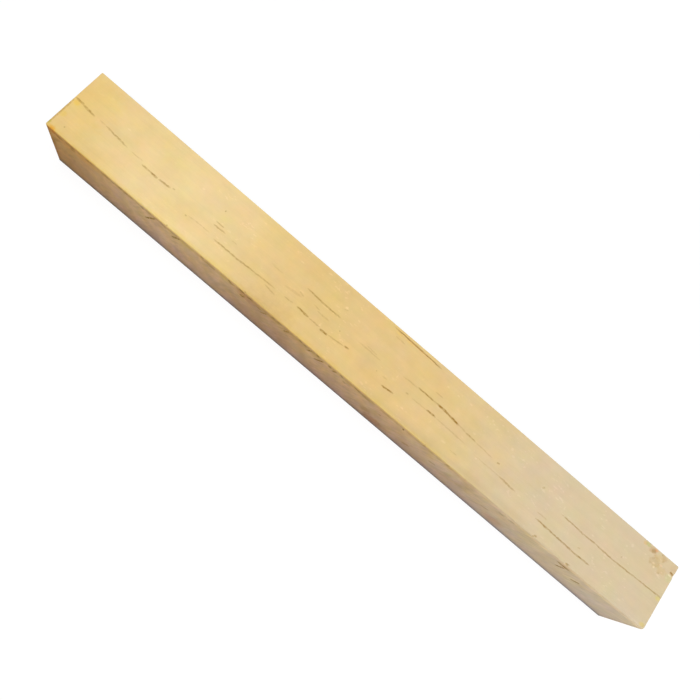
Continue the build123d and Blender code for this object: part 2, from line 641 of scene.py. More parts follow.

# The tinted patches, each with its place, reach and tint, and some with how ragged the edge is. Most are
# stained patches; the painted shade and painted highlights among them are marked where they stand.
TOP_BLOTS = [
    ((471.0, 47.6), (2.2, 1.8), (1.02, 0.93, 0.74)),
    ((473.6, 48.2), (3.0, 2.0), (0.86, 0.95, 0.72)),
    ((478.4, 47.0), (4.4, 3.0), (0.88, 0.80, 0.72), 1.4),
    ((480.4, 48.4), (1.8, 1.1), (1.12, 0.88, 0.80)),
    ((485.4, 45.8), (5.4, 4.2), (0.97, 0.93, 0.80), 1.8),
    ((488.6, 47.6), (3.6, 2.4), (0.93, 0.87, 0.82), 1.6),
    ((483.0, 41.0), (5.6, 4.6), (0.93, 0.88, 0.79), 2.2),
    ((489.6, 39.5), (6.0, 4.2), (0.97, 0.93, 0.82), 2.2),
    ((482.9, 40.3), (1.5, 1.0), (1.15, 1.16, 1.22)),
    ((484.3, 38.2), (1.2, 1.1), (1.20, 1.22, 1.26)),
    ((488.6, 42.3), (2.2, 1.0), (1.14, 1.08, 1.10), 1.6),
    ((490.0, 35.7), (2.0, 0.7), (1.10, 1.10, 1.14)),
    # Painted highlight under the nick in the right end's top edge
    ((497.2, 40.8), (2.2, 0.9), (1.18, 1.22, 1.28)),
    ((497.5, 38.5), (4.2, 3.6), (0.94, 1.02, 0.92)),
    ((497.6, 46.4), (4.0, 3.6), (0.97, 0.93, 0.92)),
    ((497.6, 23.0), (2.6, 2.0), (1.02, 1.03, 0.72)),
    ((497.0, 2.2), (3.0, 2.2), (1.04, 1.02, 0.70)),
    ((4.0, 0.8), (4.0, 1.6), (0.98, 0.88, 0.62)),
    ((0.6, 2.8), (1.4, 2.2), (0.78, 0.84, 0.58)),
    ((3.2, 23.2), (3.2, 2.6), (1.02, 0.98, 0.64)),
    ((2.6, 12.0), (3.0, 3.6), (1.00, 1.00, 0.74)),
    ((8.0, 30.0), (26.0, 28.0), (1.02, 0.98, 0.86), 0.8),
    ((253.0, 46.4), (3.4, 0.8), (1.05, 1.04, 0.84)),
    ((262.0, 46.4), (5.0, 0.8), (1.05, 1.02, 0.84)),
]
# Tinted patches on the near side: stained patches, with the painted shade and painted highlight marked
# below
NEAR_STAINS_AND_PAINTED_LIGHT = [
    # An orange patch at the near left corner: partly its own colour, partly a painted warm highlight
    ((4.2, 47.6), (4.4, 5.4), (1.06, 0.82, 0.46)),
    ((0.0, 25.0), (5.0, 34.0), (0.80, 0.72, 0.60)),
    ((24.0, 45.0), (34.0, 8.0), (1.00, 0.95, 0.78), 0.8),
    # Painted shade along the near side's right edge
    ((500.0, 25.0), (4.0, 34.0), (0.84, 0.82, 0.80)),
    ((76.0, 7.0), (34.0, 11.0), (0.90, 0.90, 0.92), 0.8),
    ((163.0, 42.0), (12.0, 8.0), (0.90, 0.80, 0.78), 1.2),
    ((176.0, 26.0), (40.0, 44.0), (0.90, 0.87, 0.82), 0.6),
    ((280.0, 10.0), (12.0, 9.0), (0.80, 0.68, 0.56), 1.8),
    ((270.0, 20.0), (5.0, 7.0), (0.88, 0.82, 0.74), 1.8),
    ((325.0, 34.0), (32.0, 14.0), (1.03, 1.05, 1.12), 0.8),
    # Painted shade of a shallow dent in the near side, which the mesh leaves flat
    ((352.0, 33.0), (9.0, 18.0), (0.90, 0.86, 0.82), 0.8),
    ((389.0, 14.0), (11.0, 12.0), (0.92, 0.82, 0.78), 1.4),
    ((482.0, 25.0), (34.0, 44.0), (0.95, 0.98, 1.08), 0.6),
    ((434.0, 44.0), (8.0, 4.0), (0.88, 0.84, 0.78), 1.6),
]


def all_blots() -> list[Blot]:
    """Lists the tinted patches and pale nicks of the two faces that show, with painted shade and painted
    highlights among the patches.

    Returns:
        The blots, in the order in which they are laid on the wood.
    """
    nicks = [(place, reach, PALE_NICK_TINT) for place, reach in PALE_NICKS]
    groups = ((Face.TOP, TOP_BLOTS), (Face.TOP, nicks), (Face.NEAR, NEAR_STAINS_AND_PAINTED_LIGHT))
    return [Blot(face, *mark) for face, marks in groups for mark in marks]


def all_flecks() -> list[Fleck]:
    """Lists the flecks and tears of all four long faces.

    Returns:
        The flecks, with each tear's brown mark as one of them.
    """
    tears = [((low, high), width * TEAR_SPREAD, TEAR_STRENGTH) for low, high, width, _ in NEAR_TEARS]
    groups = (
        (Face.TOP, TOP_FLECKS_AND_NICK_SHADOWS),
        (Face.NEAR, NEAR_MARKS),
        (Face.NEAR, ARRIS_TICKS),
        (Face.NEAR, tears),
        (Face.FAR, FAR_FLECKS),
        (Face.UNDER, UNDER_FLECKS),
    )
    return [Fleck(face, *mark) for face, marks in groups for mark in marks]


# Each chip's place along the near top arris, its length there and its bite into the corner
ARRIS_CHIPS = [
    (58.0, 2.4, 0.50),
    (95.5, 4.5, 0.60),
    (160.0, 5.0, 0.60),
    (310.0, 2.6, 0.50),
    (403.0, 2.4, 0.90),
    (433.0, 6.0, 1.10),
]

# The chip in the right end's top edge: its place from the near side, its length and its bite
END_CHIP = (42.0, 3.0, 0.55)


def all_chips(size: Size) -> list[Chip]:
    """Lists the chips along the near top arris and the one in the right end's top edge.

    Args:
        size: The blank's size.

    Returns:
        The chips.
    """
    chips = [
        Chip((x, 0.0, size.height), (0.0, -1.0, 1.0), length, bite) for x, length, bite in ARRIS_CHIPS
    ]
    y, length, bite = END_CHIP
    return chips + [Chip((size.length, y, size.height), (1.0, 0.0, 1.0), length, bite)]


# The blank's mesh

# Two points of an end's outline count as one when they are closer than this
SAME_POINT = 1e-5

# The kind of filling that leaves nothing outside the outline
INSIDE_ONLY = 1


@dataclass(frozen=True)
class Zone:
    """A stretch of a grid line where points stand closer than elsewhere."""

    start: float
    end: float
    step: float


# No two points of a grid line stand closer than this where a zone starts, nor closer at its end
# than this share of the usual step
LEAST_GAP = 0.05
LEAST_END_SHARE = 0.2


def grid_line(start: float, end: float, step: float, zones: list[Zone]) -> np.ndarray:
    """Sets out points from start to end, closer together inside the zones.

    Args:
        start: The first point.
        end: The last point.
        step: The usual step.
        zones: The stretches with a smaller step.

    Returns:
        The points, both ends included.
    """
    points = [start]
    while points[-1] < end:
        here = points[-1]
        inside = [zone.step for zone in zones if zone.start <= here < zone.end]
        ahead = [zone.start - here for zone in zones if zone.start > here]
        points.append(here + min([step, *inside, *[max(gap, LEAST_GAP) for gap in ahead]]))
    points[-1] = end
    if points[-1] - points[-2] < LEAST_END_SHARE * step:
        del points[-2]
    return np.array(points)


@dataclass
class TurningBlank:
    """The blank as one closed mesh, built in rings along the grain and closed at both ends.

    Points stand "step" apart, and closer in the zones. A zone given as a pair is how far it
    reaches past a chip or a tear, or in from an arris or an end, and its own step. The saw's
    centre is given in blank widths across and in saw radii up. A face of the mesh counts as torn
    when each of its corners was carved by more than the first part of "torn", and one of them by
    more than the second. "crease" is an angle in degrees.
    """

    size: Size
    arris_radius: float = 0.7
    edge_break: float = 0.25
    arc_steps: int = 4
    step: float = 2.4
    arris_zone: Pair = (0.5, 0.25)
    top_zones: tuple[Zone, ...] = (Zone(0.0, 3.0, 0.35), Zone(9.5, 30.0, 0.42), Zone(46.2, 49.0, 0.22))
    near_zones: tuple[Zone, ...] = (Zone(27.0, 47.5, 0.5),)
    chip_zone: Pair = (0.6, 0.6)
    tear_zone: Pair = (0.4, 0.45)
    left_end_zone: Pair = (1.5, 0.5)
    right_end_zone: Pair = (3.0, 0.5)
    end_margins: Pair = (1.3, 0.8)
    end_step: float = 1.0
    fleck_depth: float = 0.22
    least_sunk_fleck: float = 0.45
    saw_mark_pitch: float = 2.7
    saw_mark_depth: float = 0.07
    saw_radius: float = 150.0
    saw_centre: Pair = (0.3, -0.93)
    saw_wander: float = 2.0
    wander_waves: float = 0.05
    chatter_waves: float = 0.6
    chatter_share: float = 0.35
    torn: Pair = (0.02, 0.12)
    crease: float = 38.0

    def __post_init__(self) -> None:
        """Prepares the marks that the mesh follows."""
        self.chips = all_chips(self.size)
        self.tears = [Tear(*tear) for tear in NEAR_TEARS]
        on_top = (fleck for fleck in all_flecks() if fleck.face is Face.TOP)
        self.flecks = [fleck for fleck in on_top if fleck.strength > self.least_sunk_fleck]
        self.worn_arris = WornArris()
        self.shake = Shake()

    def line(self, side: float, zones: tuple[Zone, ...] = ()) -> np.ndarray:
        """Sets out the points across one long face, closer together beside its two arrises.

        Args:
            side: How wide the face is.
            zones: Where the points stand closer for the face's own marks.

        Returns:
            The points' places on the face.
        """
        r = self.arris_radius
        reach, step = self.arris_zone
        beside = [Zone(r, r + reach, step), Zone(side - r - reach, side - r, step)]
        return grid_line(r, side - r, self.step, [*beside, *zones])

    def stations(self) -> np.ndarray:
        """Sets out the rings along the grain, between the two broken end edges.

        Returns:
            The rings' places along the blank.
        """
        length = self.size.length
        zones = [Zone(0.0, *self.left_end_zone)]
        zones.append(Zone(length - self.right_end_zone[0], length, self.right_end_zone[1]))
        reach, step = self.chip_zone
        for chip in self.chips:
            x, half = chip.place[0], chip.size / 2
            zones.append(Zone(x - half - reach, x + half + reach, step))
        reach, step = self.tear_zone
        for tear in self.tears:
            if tear.high[0] > tear.low[0]:
                zones.append(Zone(tear.low[0] - reach, tear.high[0] + reach, step))
        return grid_line(self.edge_break, length - self.edge_break, self.step, zones)

    def corner(self, y: float, z: float, from_angle: float) -> list[Pair]:
        """Gives the inner points of one rounded corner of the section.

        Args:
            y: The arc's centre across the blank.
            z: The arc's centre up the blank.
            from_angle: The angle at which the arc starts, in degrees from the far side.

        Returns:
            The points between the arc's two ends, as y and z.
        """
        angles = [math.radians(from_angle + 90 * i / self.arc_steps) for i in range(1, self.arc_steps)]
        r = self.arris_radius
        return [(y + r * math.cos(a), z + r * math.sin(a)) for a in angles]

    def section(self) -> tuple[np.ndarray, list[int]]:
        """Sets out one ring: the far side up, the top back, the near side down, the underside.

        Returns:
            The ring's points as y and z, and the index at which each of the four sides starts.
        """
        r, w, h = self.arris_radius, self.size.width, self.size.height
        far, under = self.line(h), self.line(w)
        top, near = self.line(w, self.top_zones), self.line(h, self.near_zones)
        ring: list[Pair] = []
        starts = []
        sides = [
            ([(w, z) for z in far], self.corner(w - r, h - r, 0)),
            ([(y, h) for y in top[::-1]], self.corner(r, h - r, 90)),
            ([(0.0, z) for z in near[::-1]], self.corner(r, r, 180)),
            ([(y, 0.0) for y in under], self.corner(w - r, r, 270)),
        ]
        for flat, arc in sides:
            starts.append(len(ring))
            ring += flat + arc
        return np.array(ring), starts

    def shrunk(self, ring: np.ndarray, inset: float) -> np.ndarray:
        """Moves a ring's points in from the section's outline.

        Args:
            ring: The points as y and z.
            inset: How far in.

        Returns:
            The moved points.
        """
        r = self.arris_radius
        inner = np.array([self.size.width - r, self.size.height - r])
        held = np.clip(ring, r, inner)
        return held + (ring - held) * (1 - inset / r)

    def rings(self) -> np.ndarray:
        """Sets out all rings, from the left end's face to the right end's.

        Returns:
            Each ring's points as x, y and z.
        """
        ring, _ = self.section()
        xs = self.stations()
        ends = self.shrunk(ring, self.edge_break)
        sections = [ends] + [ring] * len(xs) + [ends]
        places = [0.0, *xs, self.size.length]
        return np.array([np.column_stack([np.full(len(s), x), s]) for x, s in zip(places, sections)])

    def end(self, outline: np.ndarray, x: float) -> tuple[np.ndarray, list[tuple[int, ...]]]:
        """Fills an end's outline with fine triangles.

        Args:
            outline: The outline's points as y and z.
            x: The end's place along the blank.

        Returns:
            The inner points as x, y and z, and the triangles, which count the outline's points
            first and face along the blank's x.
        """
        first, last = self.end_margins
        places = np.arange(first, self.size.width - last, self.end_step)
        inner = [(y, z) for y in places for z in places]
        rim = [(i, (i + 1) % len(outline)) for i in range(len(outline))]
        flat = [Vector(point) for point in [*outline.tolist(), *inner]]
        made = geometry.delaunay_2d_cdt(flat, rim, [], INSIDE_ONLY, SAME_POINT)
        triangles, origins = made[2], made[3]
        points = np.array([(x, y, z) for y, z in inner])
        return points, [tuple(origins[i][0] for i in triangle) for triangle in triangles]

    def saw_marks(self, points: np.ndarray) -> None:
        """Cuts the saw's shallow arcs into the inner grids of both ends.

        Args:
            points: Points in millimetres on the blank, changed in place.
        """
        across, up = self.saw_centre
        centre = Vector((self.size.width * across, self.saw_radius * up))
        slow, quick = self.wander_waves, self.chatter_waves
        for i, (x, y, z) in enumerate(points):
            radius = (Vector((y, z)) - centre).length
            wander = noise.noise(Vector((y * slow, z * slow, x))) * self.saw_wander
            wave = 0.5 + 0.5 * math.sin(2 * math.pi * (radius + wander) / self.saw_mark_pitch)
            chatter = 0.5 + 0.5 * noise.noise(Vector((y * quick, z * quick, x)))
            share = self.chatter_share
            depth = self.saw_mark_depth * ((1 - share) * wave + share * chatter)
            points[i][0] += depth if x < self.size.length / 2 else -depth

    def tube_uvs(self, xs: np.ndarray, ring: np.ndarray, starts: list[int]) -> list[list[Pair]]:
        """Lays the tube's faces out in four rows, one for each long face.

        Args:
            xs: The rings' places along the blank.
            ring: One ring's points as y and z.
            starts: The index at which each of the four sides starts in the ring.

        Returns:
            The four corners' places in the layout for each face.
        """
        count = len(ring)
        steps = np.linalg.norm(np.roll(ring, -1, axis=0) - ring, axis=1)
        bounds = [*starts, count]
        low, high = np.zeros(count), np.zeros(count)
        for row, (first, last) in enumerate(zip(bounds, bounds[1:])):
            reach = np.concatenate([[0.0], np.cumsum(steps[first:last])])
            reach = UV_ROW * row + UV_GAP + reach / reach[-1] * (UV_ROW - 2 * UV_GAP)
            low[first:last], high[first:last] = reach[:-1], reach[1:]
        us = UV_GAP + xs / self.size.length * (1 - 2 * UV_GAP)
        return [
            [(us[i], low[j]), (us[i], high[j]), (us[i + 1], high[j]), (us[i + 1], low[j])]
            for i in range(len(xs) - 1)
            for j in range(count)
        ]

    def geometry(self) -> tuple[np.ndarray, list[tuple[int, ...]], list[list[Pair]], np.ndarray]:
        """Builds the blank's vertices and faces with its wear and damage carved in.

        Returns:
            The vertices in millimetres, the faces, each face's corners in the layout and how far
            each vertex was carved.
        """
        ring, starts = self.section()
        rings = self.rings()
        levels, count = rings.shape[:2]
        points = rings.reshape(-1, 3)
        faces = [
            (i * count + j, i * count + k, (i + 1) * count + k, (i + 1) * count + j)
            for i in range(levels - 1)
            for j, k in zip(range(count), [*range(1, count), 0])
        ]
        uvs = self.tube_uvs(rings[:, 0, 0], ring, starts)
        flat = points[:, 1:].copy()
        for level, x, column in ((0, 0.0, 0), (levels - 1, self.size.length, 1)):
            inner, triangles = self.end(rings[level][:, 1:], x)
            self.saw_marks(inner)
            first = len(points)
            at = [*range(level * count, (level + 1) * count), *range(first, first + len(inner))]
            points, flat = np.vstack([points, inner]), np.vstack([flat, inner[:, 1:]])
            for triangle in triangles:
                corners = tuple(at[i] for i in (triangle if column else triangle[::-1]))
                faces.append(corners)
                uvs.append([self.end_uv(flat[i], column) for i in corners])
        self.worn_arris.carve(points, self.size)
        for fleck in self.flecks:
            fleck.carve(points, self.size, self.fleck_depth)
        carved = self.shake.carve(points, self.size)
        for mark in (*self.tears, *self.chips):
            carved = np.maximum(carved, mark.carve(points))
        return points, faces, uvs, carved

    def end_uv(self, place: np.ndarray, column: int) -> Pair:
        """Gives the place in the layout of a point on an end.

        Args:
            place: The point's y and z.
            column: 0 for the left end and 1 for the right end.

        Returns:
            Its place in the layout's fifth row.
        """
        share = place / np.array([self.size.width, self.size.height])
        reach = UV_ROW - 2 * UV_GAP
        across = UV_GAP + UV_ROW * UV_END_PITCH * column + share[0] * reach * UV_END_STRETCH
        return across, len(Face) * UV_ROW + UV_GAP + share[1] * reach

    def build(self) -> bpy.types.Object:
        """Makes the mesh object and gives each face its material slot.

        Returns:
            The object, linked to the scene.
        """
        points, faces, uvs, carved = self.geometry()
        least, most = self.torn
        mesh = bpy.data.meshes.new("blank_wood")
        mesh.from_pydata(self.size.to_row(points).tolist(), [], faces)
        layout = mesh.uv_layers.new(name="OFBake")
        layout.data.foreach_set("uv", np.array([place for face in uvs for place in face]).ravel())
        for polygon in mesh.polygons:
            polygon.use_smooth = True
            corners = list(polygon.vertices)
            if max(carved[corners]) > most and min(carved[corners]) > least:
                polygon.material_index = Slot.TORN.value
            elif len(corners) == 3:
                polygon.material_index = Slot.SAWN.value
        mesh.set_sharp_from_angle(angle=math.radians(self.crease))
        return placed("blank_wood", mesh)


# Shader trees


class Nodes:
    """Adds nodes to one shader tree and links them as they are made."""

    def __init__(self, tree: bpy.types.NodeTree) -> None:
        """Starts on a tree.

        Args:
            tree: The material's or the group's node tree.
        """
        self.tree = tree

    @classmethod
    def of(cls, owner: bpy.types.Material | bpy.types.World) -> "Nodes":
        """Starts on the emptied tree of a new material or world.

        Args:
            owner: The material or world.

        Returns:
            Its nodes, none as yet.
        """
        owner.use_nodes = True
        owner.node_tree.nodes.clear()
        return cls(owner.node_tree)

    def feed(self, node: bpy.types.Node, feeds: dict[str | int, Feed]) -> None:
        """Links or sets the inputs of a node.

        Args:
            node: The node.
            feeds: A socket or a plain value for each input that isn't left as it is.
        """
        for key, feed in feeds.items():
            if isinstance(feed, bpy.types.NodeSocket):
                self.tree.links.new(feed, node.inputs[key])
            elif node.inputs[key].type == "RGBA" and len(feed) == 3:
                node.inputs[key].default_value = (*feed, 1.0)
            else:
                node.inputs[key].default_value = feed

    def add(self, kind: str, feeds: dict[str | int, Feed], **settings: object) -> bpy.types.Node:
        """Adds one node.

        Args:
            kind: The node's type, without the words that all shader nodes' types start with.
            feeds: A socket or a plain value for each input that isn't left as it is.
            settings: The node's own settings.

        Returns:
            The node.
        """
        node = self.tree.nodes.new("ShaderNode" + kind)
        for name, value in settings.items():
            setattr(node, name, value)
        self.feed(node, feeds)
        return node

    def math(self, operation: str, *feeds: Feed) -> Socket:
        """Adds a sum on values, with what goes in given in order."""
        return self.add("Math", dict(enumerate(feeds)), operation=operation).outputs[0]

    def vector(self, operation: str, *feeds: Feed) -> Socket:
        """Adds a sum on vectors or colours.

        Args:
            operation: The sum's name.
            feeds: What goes in, in order.

        Returns:
            The answer, a value for a length or a dot product.
        """
        node = self.add("VectorMath", dict(enumerate(feeds)), operation=operation)
        return node.outputs["Value" if operation in ("LENGTH", "DOT_PRODUCT") else "Vector"]

    def scaled(self, vector: Feed, factor: Feed) -> Socket:
        """Multiplies a vector or a colour by one value."""
        return self.add("VectorMath", {0: vector, "Scale": factor}, operation="SCALE").outputs[0]

    def mix(self, factor: Feed, first: Feed, second: Feed, kind: str = "RGBA") -> Socket:
        """Mixes two colours, vectors or values.

        Args:
            factor: How far to go from the first to the second, from 0 to 1.
            first: The first.
            second: The second.
            kind: The kind of data that they are.

        Returns:
            The mixture.
        """
        at, answer = MIX_SOCKETS[kind]
        return self.add("Mix", {0: factor, at: first, at + 1: second}, data_type=kind).outputs[answer]

    def rise(self, value: Feed, low: Feed, high: Feed, to_low: Feed = 0.0, to_high: Feed = 1.0) -> Socket:
        """Eases a value from one range to another.

        Args:
            value: The value.
            low: Where the rise starts.
            high: Where it ends.
            to_low: The answer below the rise.
            to_high: The answer above it.

        Returns:
            The eased value.
        """
        feeds = {"Value": value, "From Min": low, "From Max": high, "To Min": to_low, "To Max": to_high}
        return self.add("MapRange", feeds, interpolation_type="SMOOTHSTEP").outputs[0]

    def cloud(
        self, place: Feed, scale: float, detail: float = 1.0, roughness: float = 0.5, out: str = "Fac"
    ) -> Socket:
        """Adds a cloudy noise from 0 to 1.

        Args:
            place: Where to read it.
            scale: How many waves it has to a unit of place.
            detail: How many finer waves lie on it.
            roughness: How strong those are.
            out: Which of the noise's outputs to give, one value or three as a colour.

        Returns:
            The value or values.
        """
        feeds = {"Vector": place, "Scale": scale, "Detail": detail, "Roughness": roughness}
        return self.add("TexNoise", feeds).outputs[out]

    def tint(self, mask: Feed, colour: Feed, tint: Feed) -> Socket:
        """Tints a colour where a mask says so."""
        return self.mix(mask, colour, self.vector("MULTIPLY", colour, tint))

    def swing(self, value: Feed, amount: Feed) -> Socket:
        """Turns a value around one half into a factor that swings as far around one."""
        return self.math("MULTIPLY_ADD", self.math("SUBTRACT", value, 0.5), amount, 1.0)

    def tinted(self, colour: Feed, value: Feed, amounts: Feed) -> Socket:
        """Tints a colour by a value around one half, with its own amount for red, green and blue."""
        turned = self.vector("MULTIPLY_ADD", self.math("SUBTRACT", value, 0.5), amounts, WHITE)
        return self.vector("MULTIPLY", colour, turned)


class Effect:
    """A look that the finishes share, built once as a shader node group."""

    title = ""
    inputs: dict[str, str] = {}
    outputs: dict[str, str] = {}

    def wire(self, n: Nodes, given: dict[str, Socket]) -> dict[str, Socket]:
        """Fills the group.

        Args:
            n: The group's tree.
            given: The group's inputs by name.

        Returns:
            What goes to each of the group's outputs.
        """
        raise NotImplementedError

    def tree(self) -> bpy.types.NodeTree:
        """Gives the group's tree, and builds it the first time.

        Returns:
            The tree.
        """
        made = bpy.data.node_groups.get(self.title)
        if made is None:
            made = bpy.data.node_groups.new(self.title, "ShaderNodeTree")
            for way, sockets in (("INPUT", self.inputs), ("OUTPUT", self.outputs)):
                for name, kind in sockets.items():
                    made.interface.new_socket(name, in_out=way, socket_type="NodeSocket" + kind)
            source = made.nodes.new("NodeGroupInput")
            sink = made.nodes.new("NodeGroupOutput")
            given = {name: source.outputs[name] for name in self.inputs}
            for name, socket in self.wire(Nodes(made), given).items():
                made.links.new(socket, sink.inputs[name])
        return made

    def place(self, nodes: Nodes, feeds: dict[str, Feed]) -> dict[str, Socket]:
        """Places the group in a material or in another group.

        Args:
            nodes: The tree that it goes into.
            feeds: A socket or a plain value for each of its inputs.

        Returns:
            Its outputs by name.
        """
        node = nodes.tree.nodes.new("ShaderNodeGroup")
        node.node_tree = self.tree()
        nodes.feed(node, feeds)
        return {name: node.outputs[name] for name in self.outputs}


class BlankPlaces(Effect):
    """Turns object coordinates into places on the blank and on its unrolled long faces."""

    title = "blank places"
    inputs = {"Object": "Vector", "Length": "Float", "Width": "Float", "Height": "Float"}
    outputs = {"Place": "Vector", "Unrolled": "Vector"}

    def wire(self, n: Nodes, given: dict[str, Socket]) -> dict[str, Socket]:
        """Works the places out from the object's own coordinates.

        Args:
            n: The group's tree.
            given: The group's inputs by name.

        Returns:
            The place in millimetres on the blank and the unrolled one.
        """
        halves = n.add("CombineXYZ", {0: given["Length"], 1: given["Width"]}).outputs[0]
        place = n.vector("ADD", n.scaled(given["Object"], 1 / MM), n.scaled(halves, 0.5))
        parts = n.add("SeparateXYZ", {0: place}).outputs
        up_and_over = n.math("ADD", parts["Y"], parts["Z"])
        around = n.math("MULTIPLY", n.math("ADD", given["Width"], given["Height"]), 2.0)
        down_and_back = n.math("SUBTRACT", around, up_and_over)
        is_front = n.math("GREATER_THAN", n.math("SUBTRACT", parts["Z"], parts["Y"]), 0.0)
        across = n.mix(is_front, down_and_back, up_and_over, "FLOAT")
        unrolled = n.add("CombineXYZ", {0: parts["X"], 1: across}).outputs[0]
        return {"Place": place, "Unrolled": unrolled}


class LengthTone(Effect):
    """The wood's tone along the blank, from its left end to its right end."""

    title = "tone along the grain"
    inputs = {"Place": "Vector", "Left": "Color", "Pale": "Color", "Middle": "Color", "Right": "Color"}
    outputs = {"Tone": "Color"}
    pale_rise = (0.0, 80.0)
    middle_rise = (95.0, 190.0)
    right_rise = (257.0, 422.0)

    def wire(self, n: Nodes, given: dict[str, Socket]) -> dict[str, Socket]:
        """Fades one tone into the next.

        Args:
            n: The group's tree.
            given: The group's inputs by name.

        Returns:
            The tone.
        """
        x = n.add("SeparateXYZ", {0: given["Place"]}).outputs["X"]
        colour = given["Left"]
        rises = (self.pale_rise, self.middle_rise, self.right_rise)
        for name, (low, high) in zip(("Pale", "Middle", "Right"), rises):
            colour = n.mix(n.rise(x, low, high), colour, given[name])
        return {"Tone": colour}


class GrowthRings(Effect):
    """Faint yearly rings round a pith that lies outside the blank."""

    title = "growth rings"
    inputs = {"Place": "Vector", "Pith": "Vector", "Spacing": "Float"}
    outputs = {"Ring": "Float"}
    waves = (0.004, 0.03, 0.03)
    wander = 5.0
    late_wood = 0.35
    ring_edge = 0.96

    def wire(self, n: Nodes, given: dict[str, Socket]) -> dict[str, Socket]:
        """Draws each year's ring, pale at first and dark at its end.

        Args:
            n: The group's tree.
            given: The group's inputs by name.

        Returns:
            How dark the ring is, from 0 to 1.
        """
        section = n.vector("MULTIPLY", given["Place"], (0.0, 1.0, 1.0))
        radius = n.vector("LENGTH", n.vector("SUBTRACT", section, given["Pith"]))
        slow = n.cloud(n.vector("MULTIPLY", given["Place"], self.waves), 1.0)
        moved = n.math("MULTIPLY_ADD", slow, self.wander, radius)
        phase = n.math("FRACT", n.math("DIVIDE", moved, given["Spacing"]))
        late = n.rise(phase, self.late_wood, self.ring_edge)
        early = n.rise(phase, self.ring_edge, 1.0)
        return {"Ring": n.math("SUBTRACT", late, early)}


class Fibres(Effect):
    """Fine fibres and short pores along the grain."""

    title = "fibres"
    inputs = {"Place": "Vector", "Fineness": "Float"}
    outputs = {"Tone": "Float", "Height": "Float"}
    strand_waves = (0.045, 1.0, 1.0)
    strand_scale = 0.9
    pore_waves = (0.16, 1.0, 1.0)
    pore_scale = 3.2
    pit_rise = (0.60, 0.74)
    pit_tone = -0.35
    pit_height = -0.8

    def wire(self, n: Nodes, given: dict[str, Socket]) -> dict[str, Socket]:
        """Draws the fibres with the pores' pits among them.

        Args:
            n: The group's tree.
            given: The group's inputs by name.

        Returns:
            Their tone and their relief.
        """
        place = n.scaled(given["Place"], given["Fineness"])
        strands = n.cloud(n.vector("MULTIPLY", place, self.strand_waves), self.strand_scale, *FINE)
        pores = n.cloud(n.vector("MULTIPLY", place, self.pore_waves), self.pore_scale, detail=2.0)
        pits = n.rise(pores, *self.pit_rise)
        tone = n.math("MULTIPLY_ADD", pits, self.pit_tone, strands)
        height = n.math("MULTIPLY_ADD", pits, self.pit_height, strands)
        return {"Tone": tone, "Height": height}


class Streak(Effect):
    """One soft dab of a fleck or tear on the unrolled faces.

    "Marks" is the unrolled place with the mask of the dabs before this one as its third part. The
    dab's own mask is put beside a place below any on the blank, so only the mask can win.
    """

    title = "streak"
    inputs = {
        "Marks": "Vector",
        "Centre": "Vector",
        "Along": "Vector",
        "Aside": "Vector",
        "Strength": "Float",
    }
    outputs = {"Marks": "Vector"}
    below_all = -1000.0

    def wire(self, n: Nodes, given: dict[str, Socket]) -> dict[str, Socket]:
        """Lays the dab over the marks before it.

        Args:
            n: The group's tree.
            given: The group's inputs by name.

        Returns:
            The marks with this one among them.
        """
        offset = n.vector("SUBTRACT", given["Marks"], given["Centre"])
        along = n.vector("DOT_PRODUCT", offset, given["Along"])
        aside = n.vector("DOT_PRODUCT", offset, given["Aside"])
        blunt = n.math("MULTIPLY", along, along)
        inside = n.math("MULTIPLY_ADD", aside, aside, n.math("MULTIPLY", blunt, blunt))
        mask = n.math("MULTIPLY", n.math("SUBTRACT", 1.0, inside), given["Strength"])
        own = n.add("CombineXYZ", {0: self.below_all, 1: self.below_all, 2: mask}).outputs[0]
        return {"Marks": n.vector("MAXIMUM", given["Marks"], own)}


class TintedPatch(Effect):
    """A ragged patch on the unrolled faces."""

    title = "tinted_patch"
    inputs = {
        "Unrolled": "Vector",
        "Rough": "Float",
        "Centre": "Vector",
        "Reach": "Vector",
        "Raggedness": "Float",
    }
    outputs = {"Mask": "Float"}
    edge = (1.0, 0.35)

    def wire(self, n: Nodes, given: dict[str, Socket]) -> dict[str, Socket]:
        """Draws the patch, frayed at its edge.

        Args:
            n: The group's tree.
            given: The group's inputs by name.

        Returns:
            Its mask.
        """
        offset = n.vector("SUBTRACT", given["Unrolled"], given["Centre"])
        distance = n.vector("LENGTH", n.vector("DIVIDE", offset, given["Reach"]))
        ragged = n.math("MULTIPLY_ADD", given["Rough"], given["Raggedness"], distance)
        return {"Mask": n.rise(ragged, *self.edge)}


class ArrisBand(Effect):
    """A band along one arris. Most show where handling has left its trace on the wood; two on the near
    top arris are painted light.
    """

    title = "arris band"
    inputs = {
        "Unrolled": "Vector",
        "Middle": "Float",
        "Reach": "Float",
        "From": "Float",
        "To": "Float",
        "Breakup": "Float",
        "Patches": "Float",
    }
    outputs = {"Mask": "Float"}
    fade = 15.0
    patch_rise = (0.36, 0.62)

    def wire(self, n: Nodes, given: dict[str, Socket]) -> dict[str, Socket]:
        """Draws the band, faded at its two ends and broken into patches.

        Args:
            n: The group's tree.
            given: The group's inputs by name.

        Returns:
            Its mask.
        """
        parts = n.add("SeparateXYZ", {0: given["Unrolled"]}).outputs
        aside = n.math("ABSOLUTE", n.math("SUBTRACT", parts["Y"], given["Middle"]))
        near = n.rise(n.math("DIVIDE", aside, given["Reach"]), 1.0, 0.0)
        begun = n.rise(n.math("SUBTRACT", parts["X"], given["From"]), -self.fade, self.fade)
        ended = n.rise(n.math("SUBTRACT", parts["X"], given["To"]), self.fade, -self.fade)
        broken = n.rise(given["Patches"], *self.patch_rise)
        kept = n.mix(given["Breakup"], 1.0, broken, "FLOAT")
        run = n.math("MULTIPLY", n.math("MULTIPLY", begun, ended), kept)
        return {"Mask": n.math("MULTIPLY", near, run)}


